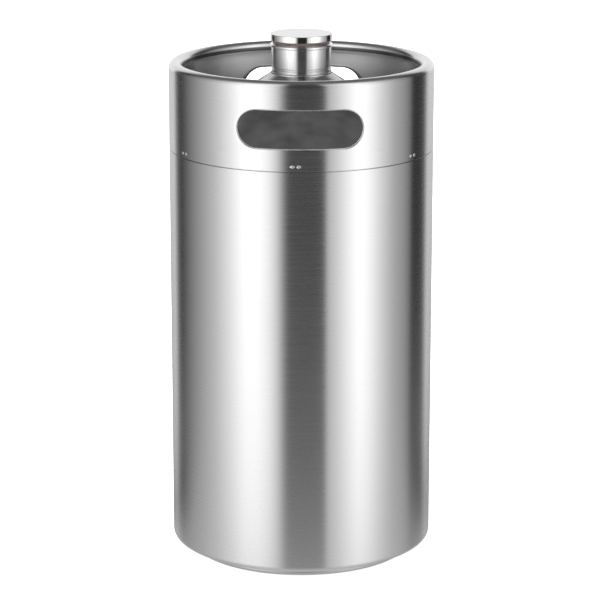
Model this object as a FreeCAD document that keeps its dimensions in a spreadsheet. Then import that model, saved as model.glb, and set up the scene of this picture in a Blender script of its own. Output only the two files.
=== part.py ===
import FreeCAD, Part
import math
import os
import Sketcher

# A stainless steel 10 litre mini keg: a drawn shell with a pressed base, a conical shoulder with
# a threaded neck, a handle ring on top and a screw cap with a silicone seal.
# Millimetres. The origin is the centre of the foot on the floor, +Z is up and the two hand holes
# face -Y and +Y.

DIMENSIONS = {
    # shell and base
    "body_radius": 107.5,
    "sheet_gauge": 0.8,
    "seam_height": 337.3,
    "seam_gap": 0.5,
    "corner_radius": 4.5,
    "foot_radius": 93.9,
    "foot_height": 7.6,
    "foot_width": 9.0,
    "foot_bend": 3.0,
    "flange_bend": 0.8,
    "flange_reach": 8.0,
    "lip_clearance": 0.2,
    "dish_rim_height": 5.0,
    "dish_bend": 2.5,
    "dish_rise": 8.0,
    # shoulder
    "skirt_clearance": 0.2,
    "skirt_depth": 9.0,
    "skirt_rise": 5.3,
    "knuckle_radius": 4.0,
    "shoulder_angle": 33.0,
    # handle ring
    "ring_height": 70.8,
    "bead_radius": 5.6,
    "curl_angle": 40.0,
    "hole_width": 97.4,
    "hole_height": 30.2,
    "hole_rise": 17.7,
    "edge_depth": 4.0,
    "edge_round": 1.3,
    # weld dots that hold the ring to the shoulder's skirt
    "dot_radius": 1.3,
    "dot_rise": 4.2,
    "dot_spacing": 5.1,
    "dot_start_angle": -59.2,
    "dot_pitch_angle": 57.4,
    "dot_proud": 0.15,
    # neck collar
    "collar_radius": 24.1,
    "collar_height": 24.1,
    "collar_bore": 21.6,
    "lip_radius": 25.2,
    "lip_drop": 2.9,
    "lip_bevel": 1.3,
    "lip_underside": 0.5,
    "lip_land": 23.5,
    "mouth_chamfer": 0.8,
    "score_rise": 3.1,
    "score_spacing": 1.5,
    "score_width": 0.7,
    "score_depth": 0.35,
    # screw thread, one start, right handed
    "thread_pitch": 4.0,
    "thread_turns": 3.0,
    "thread_depth": 1.6,
    "thread_base": 2.2,
    "thread_tip": 1.0,
    "thread_rise": 5.6,
    "thread_clearance": 0.4,
    # cap
    "plug_gauge": 2.6,
    "plug_length": 20.6,
    "plug_chamfer": 0.6,
    "disc_radius": 25.1,
    "disc_base_radius": 23.6,
    "disc_height": 5.4,
    "disc_side": 5.0,
    "disc_edge": 0.35,
    # silicone seal between the collar and the cap
    "seal_height": 1.8,
    "seal_radius": 23.2,
    "seal_clearance": 0.1,
    "seal_bore_clearance": 0.3,
    "seal_round": 0.6,
    # weld beads
    "neck_bead": 0.8,
    "base_bead": 1.8,
    "skirt_bead": 2.0,
    "plug_bead": 1.5,
}


class Size:
    """A length or an angle: its number and the sheet formula that gives it."""

    def __init__(self, value, formula):
        self.value = value
        self.formula = formula

    def join(self, other, sign, value):
        return Size(value, f"({self.formula} {sign} {other.formula})")

    def __add__(self, other):
        other = size(other)
        return self.join(other, "+", self.value + other.value)

    def __sub__(self, other):
        other = size(other)
        return self.join(other, "-", self.value - other.value)

    def __mul__(self, other):
        other = size(other)
        return self.join(other, "*", self.value * other.value)

    def __truediv__(self, other):
        other = size(other)
        return self.join(other, "/", self.value / other.value)

    def __neg__(self):
        return size(0) - self


def size(item):
    """Plain numbers become sizes too, so that both kinds mix in a formula."""
    if isinstance(item, Size):
        return item
    return Size(float(item), str(item))


def sine(angle):
    return Size(math.sin(math.radians(angle.value)), f"sin({angle.formula})")


def cosine(angle):
    return Size(math.cos(math.radians(angle.value)), f"cos({angle.formula})")


def tangent(angle):
    return Size(math.tan(math.radians(angle.value)), f"tan({angle.formula})")


def make_sheet(doc):
    """The driving dimensions, one row each: name, number and alias."""
    sheet = doc.addObject("Spreadsheet::Sheet", "dims")
    for row, (name, number) in enumerate(DIMENSIONS.items(), start=1):
        sheet.set(f"A{row}", name)
        sheet.set(f"B{row}", str(number))
        sheet.setAlias(f"B{row}", name)
    doc.recompute()
    return sheet


class Sheet:
    """Gives each driving dimension as a Size, read from its cell."""

    def __init__(self, cells):
        for name in DIMENSIONS:
            setattr(self, name, Size(float(cells.get(name)), f"dims.{name}"))


def bind(item, prop, length):
    """Set a property now and tie it to its formula."""
    item.setExpression(prop, length.formula)


def pin_distance(sketch, kind, geometry, vertex, length):
    """Hold one vertex at a distance from the sketch's origin, on either side of it."""
    if abs(length.value) < 1e-9:
        axis = -2 if kind == "DistanceX" else -1
        sketch.addConstraint(Sketcher.Constraint("PointOnObject", geometry, vertex, axis))
        return
    ends = (-1, 1, geometry, vertex)
    if length.value < 0:
        ends = (geometry, vertex, -1, 1)
        length = -length
    index = sketch.addConstraint(Sketcher.Constraint(kind, *ends, length.value))
    bind(sketch, f"Constraints[{index}]", length)


def arc_between(start, end, bend):
    """The short arc from start to end; a positive bend turns left, a negative one right."""
    radius = abs(bend.value)
    chord = end - start
    middle = (start + end) * 0.5
    left = FreeCAD.Vector(-chord.y, chord.x, 0).normalize()
    reach = math.sqrt(max(radius ** 2 - (chord.Length / 2) ** 2, 0.0))
    centre = middle + left * math.copysign(reach, bend.value)
    first, last = (start, end) if bend.value > 0 else (end, start)
    first_angle = math.atan2(first.y - centre.y, first.x - centre.x)
    last_angle = math.atan2(last.y - centre.y, last.x - centre.x)
    circle = Part.Circle(centre, FreeCAD.Vector(0, 0, 1), radius)
    return Part.ArcOfCircle(circle, first_angle, last_angle)


def new_sketch(body, name, plane="XZ_Plane"):
    sketch = body.newObject("Sketcher::SketchObject", name)
    support = next(item for item in body.Origin.OriginFeatures if item.Role == plane)
    sketch.AttachmentSupport = [(support, "")]
    sketch.MapMode = "FlatFace"
    return sketch


def draw_outline(sketch, corners):
    """Draw a closed outline through corners (across, up) or (across, up, bend to the next)."""
    places = [FreeCAD.Vector(size(corner[0]).value, size(corner[1]).value, 0) for corner in corners]
    vertices = []
    for number, corner in enumerate(corners):
        start = places[number]
        end = places[(number + 1) % len(corners)]
        if len(corner) == 2:
            edge = sketch.addGeometry(Part.LineSegment(start, end), False)
            vertices.append((edge, 1, 2))
        else:
            bend = size(corner[2])
            edge = sketch.addGeometry(arc_between(start, end, bend), False)
            vertices.append((edge, 1, 2) if bend.value > 0 else (edge, 2, 1))
    for number, (edge, _, last) in enumerate(vertices):
        follower, first, _ = vertices[(number + 1) % len(vertices)]
        sketch.addConstraint(Sketcher.Constraint("Coincident", edge, last, follower, first))
    for (edge, first, _), corner in zip(vertices, corners):
        pin_distance(sketch, "DistanceX", edge, first, size(corner[0]))
        pin_distance(sketch, "DistanceY", edge, first, size(corner[1]))
        if len(corner) == 3:
            bend = size(corner[2])
            radius = bend if bend.value > 0 else -bend
            index = sketch.addConstraint(Sketcher.Constraint("Radius", edge, radius.value))
            bind(sketch, f"Constraints[{index}]", radius)


def new_body(doc, label):
    body = doc.addObject("PartDesign::Body", label)
    body.Label = label
    return body


def revolve_outline(body, name, corners, kind="PartDesign::Revolution"):
    """Turn an outline of (radius, height) corners once round the keg's axis."""
    sketch = new_sketch(body, f"{name}_outline")
    draw_outline(sketch, corners)
    turn = body.newObject(kind, name)
    turn.Profile = sketch
    turn.ReferenceAxis = (sketch, ["V_Axis"])
    turn.Angle = 360
    body.Tip = turn
    return turn


def slot_corners(half_width, half_height, mid_height):
    """A slot with full round ends, drawn as quarter arcs and straight sides."""
    straight = half_width - half_height
    low = mid_height - half_height
    high = mid_height + half_height
    return [
        (-straight, low),
        (straight, low, half_height),
        (half_width, mid_height, half_height),
        (straight, high),
        (-straight, high, half_height),
        (-half_width, mid_height, half_height),
    ]


def through_feature(body, name, kind, corners, length):
    """Pad or pocket an outline both ways through the keg from its XZ plane."""
    sketch = new_sketch(body, f"{name}_outline")
    draw_outline(sketch, corners)
    feature = body.newObject(kind, name)
    feature.Profile = sketch
    feature.SideType = "Symmetric"
    bind(feature, "Length", length)
    body.Tip = feature
    return feature


def body_shell(doc, d):
    """Drawn tube with its lower edge rolled in to a short lip."""
    wall = d.sheet_gauge
    outer = d.body_radius
    lip = d.foot_radius + d.flange_bend + d.lip_clearance
    bottom = d.foot_height
    top = d.seam_height - d.seam_gap / 2
    body = new_body(doc, "body_shell")
    revolve_outline(body, "shell_sheet", [
        (lip, bottom),
        (outer - d.corner_radius, bottom, d.corner_radius),
        (outer, bottom + d.corner_radius),
        (outer, top),
        (outer - wall, top),
        (outer - wall, bottom + d.corner_radius, wall - d.corner_radius),
        (outer - d.corner_radius, bottom + wall),
        (lip, bottom + wall),
    ])
    return body


def base_pan(doc, d):
    """Pressed base: a flange on the shell's lip, a flat foot bead and a dish that rises inside."""
    wall = d.sheet_gauge
    foot = d.foot_radius
    inside = foot - d.foot_width
    seat = d.foot_height + wall
    bend = d.flange_bend
    toe = d.foot_bend
    rim = d.dish_rim_height
    edge = inside - d.dish_bend
    edge_height = rim + d.dish_bend
    crown = edge_height + d.dish_rise
    dish = (edge * edge + d.dish_rise * d.dish_rise) / (d.dish_rise * 2)
    flange = foot + d.flange_reach
    body = new_body(doc, "base_pan")
    revolve_outline(body, "pan_sheet", [
        (flange, seat),
        (foot + bend, seat, bend),
        (foot, seat - bend),
        (foot, toe, -toe),
        (foot - toe, 0),
        (inside + toe, 0, -toe),
        (inside, toe),
        (inside, rim, d.dish_bend),
        (edge, edge_height, dish),
        (0, crown),
        (0, crown + wall, -dish),
        (edge, edge_height + wall, -(d.dish_bend + wall)),
        (inside + wall, rim),
        (inside + wall, toe, toe - wall),
        (inside + toe, wall),
        (foot - toe, wall, toe - wall),
        (foot - wall, toe),
        (foot - wall, seat - bend, -(bend + wall)),
        (foot + bend, seat + wall),
        (flange, seat + wall),
    ])
    return body


def base_weld(doc, d):
    """Flat-faced bead in the corner between the shell's lip and the foot, seen from below."""
    foot = d.foot_radius
    bottom = d.foot_height
    body = new_body(doc, "base_weld")
    revolve_outline(body, "base_bead_ring", [
        (foot, bottom - d.base_bead),
        (foot + d.base_bead, bottom),
        (foot, bottom),
    ])
    return body


def collar_base(d):
    """Height at which the shoulder's outer face reaches the neck collar."""
    skirt = d.body_radius - d.sheet_gauge - d.skirt_clearance
    knuckle_end = skirt - d.knuckle_radius + d.knuckle_radius * sine(d.shoulder_angle)
    knuckle_top = d.seam_height + d.skirt_rise + d.knuckle_radius * cosine(d.shoulder_angle)
    return knuckle_top + (knuckle_end - d.collar_radius) * tangent(d.shoulder_angle)


def shoulder_cone(doc, d):
    """Pressed cone with a straight skirt that sits inside both the shell and the handle ring."""
    wall = d.sheet_gauge
    skirt = d.body_radius - wall - d.skirt_clearance
    low = d.seam_height - d.skirt_depth
    high = d.seam_height + d.skirt_rise
    centre = skirt - d.knuckle_radius
    inner_knuckle = d.knuckle_radius - wall
    across = sine(d.shoulder_angle)
    along = cosine(d.shoulder_angle)
    top = collar_base(d)
    body = new_body(doc, "shoulder_cone")
    revolve_outline(body, "cone_sheet", [
        (skirt, low),
        (skirt, high, d.knuckle_radius),
        (centre + d.knuckle_radius * across, high + d.knuckle_radius * along),
        (d.collar_radius, top),
        (d.collar_radius - wall / across, top),
        (centre + inner_knuckle * across, high + inner_knuckle * along, -inner_knuckle),
        (skirt - wall, high),
        (skirt - wall, low),
    ])
    return body


def shoulder_weld(doc, d):
    """Flat-faced girth bead inside the keg, under the edge of the shoulder's skirt."""
    outer = d.body_radius - d.sheet_gauge
    low = d.seam_height - d.skirt_depth
    body = new_body(doc, "shoulder_weld")
    revolve_outline(body, "girth_bead", [
        (outer, low - d.skirt_bead),
        (outer, low),
        (outer - d.skirt_clearance - d.sheet_gauge, low),
    ])
    return body


def rim_point(d, radius, angle):
    """A point on the rolled rim, at an angle in degrees from straight out."""
    turn = math.radians(angle)
    across = d.body_radius - d.bead_radius + radius * round(math.cos(turn), 9)
    up = d.seam_height + d.ring_height - d.bead_radius + radius * round(math.sin(turn), 9)
    return across, up


def ring_outline(d):
    """Straight wall that rolls in over the top and curls under."""
    wall = d.sheet_gauge
    outer = d.body_radius
    low = d.seam_height + d.seam_gap / 2
    bead = d.bead_radius
    inner_bead = bead - wall
    last = 180 + d.curl_angle.value
    return [
        (outer, low),
        (*rim_point(d, bead, 0), bead),
        (*rim_point(d, bead, 90), bead),
        (*rim_point(d, bead, 180), bead),
        rim_point(d, bead, last),
        (*rim_point(d, inner_bead, last), -inner_bead),
        (*rim_point(d, inner_bead, 180), -inner_bead),
        (*rim_point(d, inner_bead, 90), -inner_bead),
        rim_point(d, inner_bead, 0),
        (outer - wall, low),
    ]


def hole_rim_edges(shape, d):
    """The edges where the hand holes meet the ring's outer face."""
    hole_low = d.seam_height.value + d.hole_rise.value
    hole_high = hole_low + d.hole_height.value
    names = []
    for number, edge in enumerate(shape.Edges, start=1):
        points = edge.discretize(5)
        on_face = all(abs(math.hypot(p.x, p.y) - d.body_radius.value) < 0.01 for p in points)
        near_hole = all(hole_low - 0.1 < p.z < hole_high + 0.1 for p in points)
        if on_face and near_hole:
            names.append(f"Edge{number}")
    return names


def handle_ring(doc, d):
    """Ring with a rolled rim, two hand holes with turned edges, and holes for the weld dots."""
    wall = d.sheet_gauge
    middle = d.seam_height + d.hole_rise + d.hole_height / 2
    low = middle - d.hole_height / 2 - wall * 2
    high = middle + d.hole_height / 2 + wall * 2
    reach = d.body_radius * 2.5
    beyond = d.body_radius * 1.5
    body = new_body(doc, "handle_ring")
    revolve_outline(body, "ring_sheet", ring_outline(d))
    through_feature(body, "turned_edges", "PartDesign::Pad",
                    slot_corners(d.hole_width / 2 + wall, d.hole_height / 2 + wall, middle), reach)
    revolve_outline(body, "trim_outside", [
        (d.body_radius, low), (beyond, low), (beyond, high), (d.body_radius, high),
    ], "PartDesign::Groove")
    revolve_outline(body, "trim_inside", [
        (0, low), (d.body_radius - d.edge_depth, low),
        (d.body_radius - d.edge_depth, high), (0, high),
    ], "PartDesign::Groove")
    holes = through_feature(body, "hand_holes", "PartDesign::Pocket",
                            slot_corners(d.hole_width / 2, d.hole_height / 2, middle), reach)
    doc.recompute()
    rounding = body.newObject("PartDesign::Fillet", "edge_rounding")
    rounding.Base = (holes, hole_rim_edges(holes.Shape, d))
    bind(rounding, "Radius", d.edge_round)
    body.Tip = rounding
    doc.recompute()
    drill_dot_holes(body, d)
    return body


def drill_dot_holes(body, d):
    """Pairs of small holes, drilled straight through the ring on three lines."""
    sketch = new_sketch(body, "dot_hole_outline")
    sketch.AttachmentOffset = FreeCAD.Placement(
        FreeCAD.Vector(0, 0, 0), FreeCAD.Rotation(FreeCAD.Vector(0, 1, 0), d.dot_start_angle.value))
    for side in (-1, 1):
        across = d.dot_spacing / 2 * side
        up = d.seam_height + d.dot_rise
        place = FreeCAD.Vector(across.value, up.value, 0)
        circle = Part.Circle(place, FreeCAD.Vector(0, 0, 1), d.dot_radius.value)
        ring = sketch.addGeometry(circle, False)
        pin_distance(sketch, "DistanceX", ring, 3, across)
        pin_distance(sketch, "DistanceY", ring, 3, up)
        index = sketch.addConstraint(Sketcher.Constraint("Radius", ring, d.dot_radius.value))
        bind(sketch, f"Constraints[{index}]", d.dot_radius)
    drill = body.newObject("PartDesign::Pocket", "dot_holes")
    drill.Profile = sketch
    drill.SideType = "Symmetric"
    bind(drill, "Length", d.body_radius * 2.5)
    pattern = body.newObject("PartDesign::PolarPattern", "dot_hole_lines")
    pattern.Originals = [drill]
    axis = next(item for item in body.Origin.OriginFeatures if item.Role == "Z_Axis")
    pattern.Axis = (axis, [""])
    pattern.Occurrences = 3
    bind(pattern, "Angle", d.dot_pitch_angle * 2)
    body.Tip = pattern


def spot_welds(doc, d):
    """Twelve weld dots, in pairs, that fill the ring's holes down to the skirt."""
    start = d.body_radius - d.sheet_gauge - d.skirt_clearance
    length = d.sheet_gauge + d.skirt_clearance + d.dot_proud
    dots = []
    for line in range(3):
        for opposite in (0, 180):
            azimuth = d.dot_start_angle.value + line * d.dot_pitch_angle.value + opposite
            turn = FreeCAD.Rotation(FreeCAD.Vector(0, 0, 1), azimuth)
            for side in (-0.5, 0.5):
                dot = doc.addObject("Part::Cylinder", f"weld_dot_{len(dots) + 1}")
                bind(dot, "Radius", d.dot_radius)
                bind(dot, "Height", length)
                place = FreeCAD.Vector(side * d.dot_spacing.value, -start.value,
                                       (d.seam_height + d.dot_rise).value)
                outwards = FreeCAD.Rotation(FreeCAD.Vector(1, 0, 0), 90)
                dot.Placement = FreeCAD.Placement(turn.multVec(place), turn.multiply(outwards))
                dots.append(dot)
    group = doc.addObject("Part::Compound", "spot_welds")
    group.Label = "spot_welds"
    group.Links = dots
    return group


def score_line(d, height):
    """Corners of a fine V groove turned into the collar."""
    half = d.score_width / 2
    return [
        (d.collar_radius, height - half),
        (d.collar_radius - d.score_depth, height),
        (d.collar_radius, height + half),
    ]


def thread_ridge(body, name, root, towards, height, d):
    """Wind a trapezoid ridge from a root radius, towards the axis (-1) or away from it (1)."""
    overlap = 0.3
    base = root - towards * overlap
    crest = root + d.thread_depth * towards
    half_base = d.thread_base / 2
    half_tip = d.thread_tip / 2
    corners = [
        (base, height - half_base),
        (crest, height - half_tip),
        (crest, height + half_tip),
        (base, height + half_base),
    ]
    sketch = new_sketch(body, f"{name}_outline")
    draw_outline(sketch, corners if towards > 0 else corners[::-1])
    ridge = body.newObject("PartDesign::AdditiveHelix", name)
    ridge.Profile = sketch
    ridge.ReferenceAxis = (sketch, ["V_Axis"])
    ridge.Mode = "pitch-turns-angle"
    bind(ridge, "Pitch", d.thread_pitch)
    bind(ridge, "Turns", d.thread_turns)
    body.Tip = ridge
    return ridge


def neck_collar(doc, d):
    """Turned neck with a bevelled lip, two score lines and the inside thread."""
    low = collar_base(d)
    high = low + d.collar_height
    ridge = high - d.lip_drop
    score = low + d.score_rise
    body = new_body(doc, "neck_collar")
    revolve_outline(body, "collar_ring", [
        (d.collar_bore, low),
        (d.collar_radius, low),
        *score_line(d, score),
        *score_line(d, score + d.score_spacing),
        (d.collar_radius, ridge - d.lip_underside),
        (d.lip_radius, ridge),
        (d.lip_radius, high - d.lip_bevel),
        (d.lip_land, high),
        (d.collar_bore + d.mouth_chamfer, high),
        (d.collar_bore, high - d.mouth_chamfer),
    ])
    thread_ridge(body, "collar_thread", d.collar_bore, -1, low + d.thread_rise, d)
    return body


def neck_weld(doc, d):
    """Flat-faced bead round the foot of the neck collar."""
    low = collar_base(d)
    body = new_body(doc, "neck_weld")
    revolve_outline(body, "neck_bead_ring", [
        (d.collar_radius, low),
        (d.collar_radius + d.neck_bead, low - d.neck_bead * tangent(d.shoulder_angle)),
        (d.collar_radius, low + d.neck_bead),
    ])
    return body


def disc_base(d):
    """Height of the cap disc's underside."""
    return collar_base(d) + d.collar_height + d.seal_height + d.seal_clearance * 2


def plug_radius(d):
    """Core radius of the threaded plug, inside the collar's thread crests."""
    return d.collar_bore - d.thread_depth - d.thread_clearance


def cap_plug(doc, d):
    """Threaded tube under the cap disc, half a pitch out of step with the collar's thread."""
    top = disc_base(d)
    low = top - d.plug_length
    core = plug_radius(d)
    body = new_body(doc, "cap_plug")
    revolve_outline(body, "plug_tube", [
        (core - d.plug_gauge, low),
        (core - d.plug_chamfer, low),
        (core, low + d.plug_chamfer),
        (core, top),
        (core - d.plug_gauge, top),
    ])
    start = collar_base(d) + d.thread_rise + d.thread_pitch / 2
    thread_ridge(body, "plug_thread", core, 1, start, d)
    return body


def cap_weld(doc, d):
    """Bead inside the plug that joins it to the disc."""
    top = disc_base(d)
    bore = plug_radius(d) - d.plug_gauge
    body = new_body(doc, "cap_weld")
    revolve_outline(body, "cap_bead", [
        (bore, top - d.plug_bead),
        (bore, top),
        (bore - d.plug_bead, top, d.plug_bead * 2),
    ])
    return body


def cap_disc(doc, d):
    """Polished disc with a straight side and an underside that slopes in to the seal."""
    low = disc_base(d)
    high = low + d.disc_height
    body = new_body(doc, "cap_disc")
    revolve_outline(body, "disc_blank", [
        (0, low),
        (d.disc_base_radius, low),
        (d.disc_radius, high - d.disc_side),
        (d.disc_radius, high - d.disc_edge, d.disc_edge),
        (d.disc_radius - d.disc_edge, high),
        (0, high),
    ])
    return body


def cap_seal(doc, d):
    """Silicone ring with rounded outer edges, between the collar and the disc."""
    low = collar_base(d) + d.collar_height + d.seal_clearance
    high = low + d.seal_height
    bore = plug_radius(d) + d.seal_bore_clearance
    outer = d.seal_radius
    round_edge = d.seal_round
    body = new_body(doc, "cap_seal")
    revolve_outline(body, "seal_ring", [
        (bore, low),
        (outer - round_edge, low, round_edge),
        (outer, low + round_edge),
        (outer, high - round_edge, round_edge),
        (outer - round_edge, high),
        (bore, high),
    ])
    return body


def check_document(doc, pieces):
    """Stop if any object failed to compute or any piece is not a sound solid."""
    for item in doc.Objects:
        if "Invalid" in item.State or "Error" in item.State:
            raise RuntimeError(f"{item.Name} did not compute: {item.State}")
    for piece in pieces:
        shape = piece.Shape
        if shape.isNull() or not shape.isValid() or not shape.Solids:
            raise RuntimeError(f"{piece.Label} has no valid solid")
        print(f"{piece.Label}: {len(shape.Solids)} solid(s), {shape.Volume:.1f} mm3")


def write_parts(pieces):
    os.makedirs("parts", exist_ok=True)
    for piece in pieces:
        piece.Shape.exportStep(os.path.join("parts", f"{piece.Label}.step"))


doc = FreeCAD.newDocument("mini_keg")
dims = Sheet(make_sheet(doc))
builders = (
    body_shell, base_pan, base_weld, shoulder_cone, shoulder_weld, handle_ring, spot_welds,
    neck_collar, neck_weld, cap_disc, cap_plug, cap_weld, cap_seal,
)
pieces = [build(doc, dims) for build in builders]
doc.recompute()
check_document(doc, pieces)
write_parts(pieces)
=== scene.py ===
import math

import bmesh
import bpy
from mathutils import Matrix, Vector


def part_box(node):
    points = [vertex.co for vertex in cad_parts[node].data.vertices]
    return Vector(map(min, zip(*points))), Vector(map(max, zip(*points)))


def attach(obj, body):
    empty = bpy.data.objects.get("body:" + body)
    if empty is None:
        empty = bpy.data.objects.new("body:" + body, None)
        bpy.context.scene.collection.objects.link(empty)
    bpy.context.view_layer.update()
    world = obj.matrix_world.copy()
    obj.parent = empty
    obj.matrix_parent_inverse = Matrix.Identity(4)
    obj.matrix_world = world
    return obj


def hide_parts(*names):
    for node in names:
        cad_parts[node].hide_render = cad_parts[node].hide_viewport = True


# Looks of the stainless steel mini keg. Metres, +Z up, hand holes towards -Y and +Y.
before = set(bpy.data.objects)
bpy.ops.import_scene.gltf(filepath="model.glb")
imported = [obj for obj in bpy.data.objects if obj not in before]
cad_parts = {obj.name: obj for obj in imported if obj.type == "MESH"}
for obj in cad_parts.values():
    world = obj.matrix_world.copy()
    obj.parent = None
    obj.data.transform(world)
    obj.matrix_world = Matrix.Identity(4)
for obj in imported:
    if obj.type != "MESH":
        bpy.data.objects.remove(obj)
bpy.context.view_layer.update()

MM = 0.001
SEGMENTS = 240              # steps round a full turned piece
SAME_POINT = 0.001 * MM     # profile points closer than this are one
SAME_VERTEX = 0.0001 * MM   # mesh vertices closer than this are one

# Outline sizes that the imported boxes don't give
GAUGE = 0.8 * MM            # sheet thickness
SOFT_EDGE = 0.3 * MM        # rounding of a cut sheet edge
CORNER = 4.5 * MM
FOOT_RADIUS = 93.9 * MM
FOOT_WIDTH = 9.0 * MM
FOOT_BEND = 3.0 * MM
DISH_START = 5.0 * MM       # height where the foot bead turns in to the dish
DISH_TURN = 2.5 * MM
BEAD = 5.6 * MM             # radius of the rolled rim
CURL = 40                   # degrees that the rim curls on after half a turn
SHOULDER_ANGLE = 33         # degrees from level
KNUCKLE = 4.0 * MM
HOLE_WIDTH = 97.4 * MM
HOLE_HEIGHT = 30.2 * MM
HOLE_RISE = 17.7 * MM       # from the seam to a hand hole
EDGE_DEPTH = 4.0 * MM
EDGE_ROUND = 1.3 * MM
COLLAR_RADIUS = 24.1 * MM
COLLAR_BORE = 21.6 * MM
COLLAR_LAND = 23.5 * MM     # radius of the collar's flat top
RIDGE_DROP = 2.9 * MM       # from the collar's top to the undercut of its lip
BEVEL_DROP = 1.3 * MM       # from the collar's top to the foot of its bevel
SCORE_RISES = (3.1 * MM, 4.6 * MM)  # from the collar's foot
SCORE_WIDTH = 0.9 * MM
SCORE_DEPTH = 0.35 * MM
THREAD_PITCH = 4.0 * MM
THREAD_TURNS = 3.0
THREAD_DEPTH = 1.6 * MM
NECK_THREAD_RISE = 5.6 * MM  # from the collar's foot to the start of each thread
PLUG_THREAD_RISE = 7.6 * MM
PLUG_CORE = 19.6 * MM
PLUG_BORE = 17.0 * MM
DISC_FOOT = 23.6 * MM       # radius where the cap's underside starts to slope
DISC_SIDE = 5.0 * MM        # height of the cap's straight side

# Weld dots: places, and a section from the root inside the wall to near the crown
DOT_RISE = 4.2 * MM
DOT_SPACING = 5.1 * MM
DOT_AZIMUTHS = (-59.2, -1.8, 55.6, 120.8, 178.2, 235.6)
DOT_ROOT = -0.25 * MM
DOT_CROWN = 0.19 * MM
DOT_SECTION = (
    (1.5 * MM, DOT_ROOT), (1.5 * MM, 0.03 * MM), (1.4 * MM, 0.09 * MM),
    (1.15 * MM, 0.14 * MM), (0.8 * MM, 0.17 * MM), (0.4 * MM, 0.185 * MM),
)

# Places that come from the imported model
SHELL_LOW, SHELL_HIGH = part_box("body_shell")
RING_LOW, RING_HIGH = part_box("handle_ring")
CONE_LOW, CONE_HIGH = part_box("shoulder_cone")
PAN_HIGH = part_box("base_pan")[1]
COLLAR_LOW, COLLAR_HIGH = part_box("neck_collar")
DISC_LOW, DISC_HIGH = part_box("cap_disc")
PLUG_LOW, PLUG_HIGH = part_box("cap_plug")
SEAL_LOW, SEAL_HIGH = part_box("cap_seal")
RADIUS = SHELL_HIGH.x
SEAM = (SHELL_HIGH.z + RING_LOW.z) / 2
RIM_TOP = RING_HIGH.z
BEAD_CENTRE = RIM_TOP - BEAD
HOLE_MIDDLE = SEAM + HOLE_RISE + HOLE_HEIGHT / 2


# ---------------------------------------------------------------- mesh helpers

def add_mesh(name, points, faces, material, body, node, crease=35):
    """Make a piece from points and faces, smooth except at creases.
    It stands in place of a CAD node, or beside the CAD if node is None."""
    mesh = bpy.data.meshes.new(name)
    mesh.from_pydata([tuple(p) for p in points], [], faces)
    mesh.validate()
    piece = bpy.data.objects.new(name, mesh)
    bpy.context.scene.collection.objects.link(piece)
    cleaned = bmesh.new()
    cleaned.from_mesh(mesh)
    bmesh.ops.remove_doubles(cleaned, verts=cleaned.verts, dist=SAME_VERTEX)
    bmesh.ops.recalc_face_normals(cleaned, faces=cleaned.faces)
    cleaned.to_mesh(mesh)
    cleaned.free()
    mesh.shade_smooth()
    mesh.set_sharp_from_angle(angle=math.radians(crease))
    mesh.materials.append(material)
    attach(piece, body)
    if node:
        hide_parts(node)
    return piece


def arc(centre_r, centre_z, radius, first, last, steps):
    """Points (r, z) on an arc, angles in degrees from straight out."""
    points = []
    for step in range(steps + 1):
        angle = math.radians(first + (last - first) * step / steps)
        r = centre_r + radius * math.cos(angle)
        z = centre_z + radius * math.sin(angle)
        points.append((r, z))
    return points


def straight(start, end, spacing=4 * MM, support=0.15 * MM):
    """Points from start to end, with one close to each end so that shading stays flat between."""
    length = math.dist(start, end)
    if length < support * 4:
        return [start, end]
    steps = max(1, round(length / spacing))
    inset = support / length
    fractions = [0, inset, *[s / steps for s in range(1, steps)], 1 - inset, 1]
    return [tuple(a + (b - a) * f for a, b in zip(start, end)) for f in sorted(fractions)]


def spin(radius, height, azimuth):
    """A point at an azimuth in radians, counted from the front (-Y) towards +X."""
    return (radius * math.sin(azimuth), -radius * math.cos(azimuth), height)


def tidy_profile(profile):
    """Drop points that repeat the one before them."""
    kept = []
    for point in profile:
        if not kept or math.dist(point, kept[-1]) > SAME_POINT:
            kept.append(point)
    if math.dist(kept[0], kept[-1]) < SAME_POINT:
        kept.pop()
    return kept


def add_circle(points, r, z):
    """Add a full circle of points and return their numbers; on the axis it is one pole."""
    first = len(points)
    if r < SAME_POINT:
        points.append((0, 0, z))
        return [first] * SEGMENTS
    points.extend(spin(r, z, 2 * math.pi * s / SEGMENTS) for s in range(SEGMENTS))
    return list(range(first, first + SEGMENTS))


def add_strip(faces, first, second):
    """Quads between two closed loops of vertex numbers, or triangles where one is a pole."""
    for n, corner in enumerate(first):
        following = (n + 1) % len(first)
        face = list(dict.fromkeys((corner, first[following], second[following], second[n])))
        if len(face) > 2:
            faces.append(face)


def numbered_loops(loops, count):
    """Vertex numbers of loops of count points that follow one another."""
    return [range(n * count, (n + 1) * count) for n in range(loops)]


def lathe(name, profile, material, body, node):
    """Turn a closed (r, z) profile round the axis."""
    points = []
    index = [add_circle(points, r, z) for r, z in tidy_profile(profile)]
    faces = []
    for row, above in zip(index, index[1:] + index[:1]):
        add_strip(faces, row, above)
    return add_mesh(name, points, faces, material, body, node)


# ---------------------------------------------------------------- handle ring

# Each hand hole sits in a window of the ring's grid, whose own faces are left out and filled again
HOLE_SPAN = 26          # grid columns each side of a hand hole's middle
HOLE_ROWS = 18          # grid rows across a hand hole's window
WINDOW_MARGIN = 7 * MM  # from the hole to the edge of its window
RADIAL_LOOPS = 6        # steps from the edge of a window to its hole
LOOP_EASE = 0.8         # below 1 the steps get shorter towards the hole


def hole_point(target_x, target_z, offset):
    """The point of the hole's outline, grown by offset, that is nearest to a target, as (x, z)."""
    half_height = HOLE_HEIGHT / 2
    reach = HOLE_WIDTH / 2 - half_height
    root_x = max(-reach, min(reach, target_x))
    away = Vector((target_x - root_x, target_z - HOLE_MIDDLE)).normalized()
    away *= half_height + offset
    return (root_x + away.x, HOLE_MIDDLE + away.y)


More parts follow.
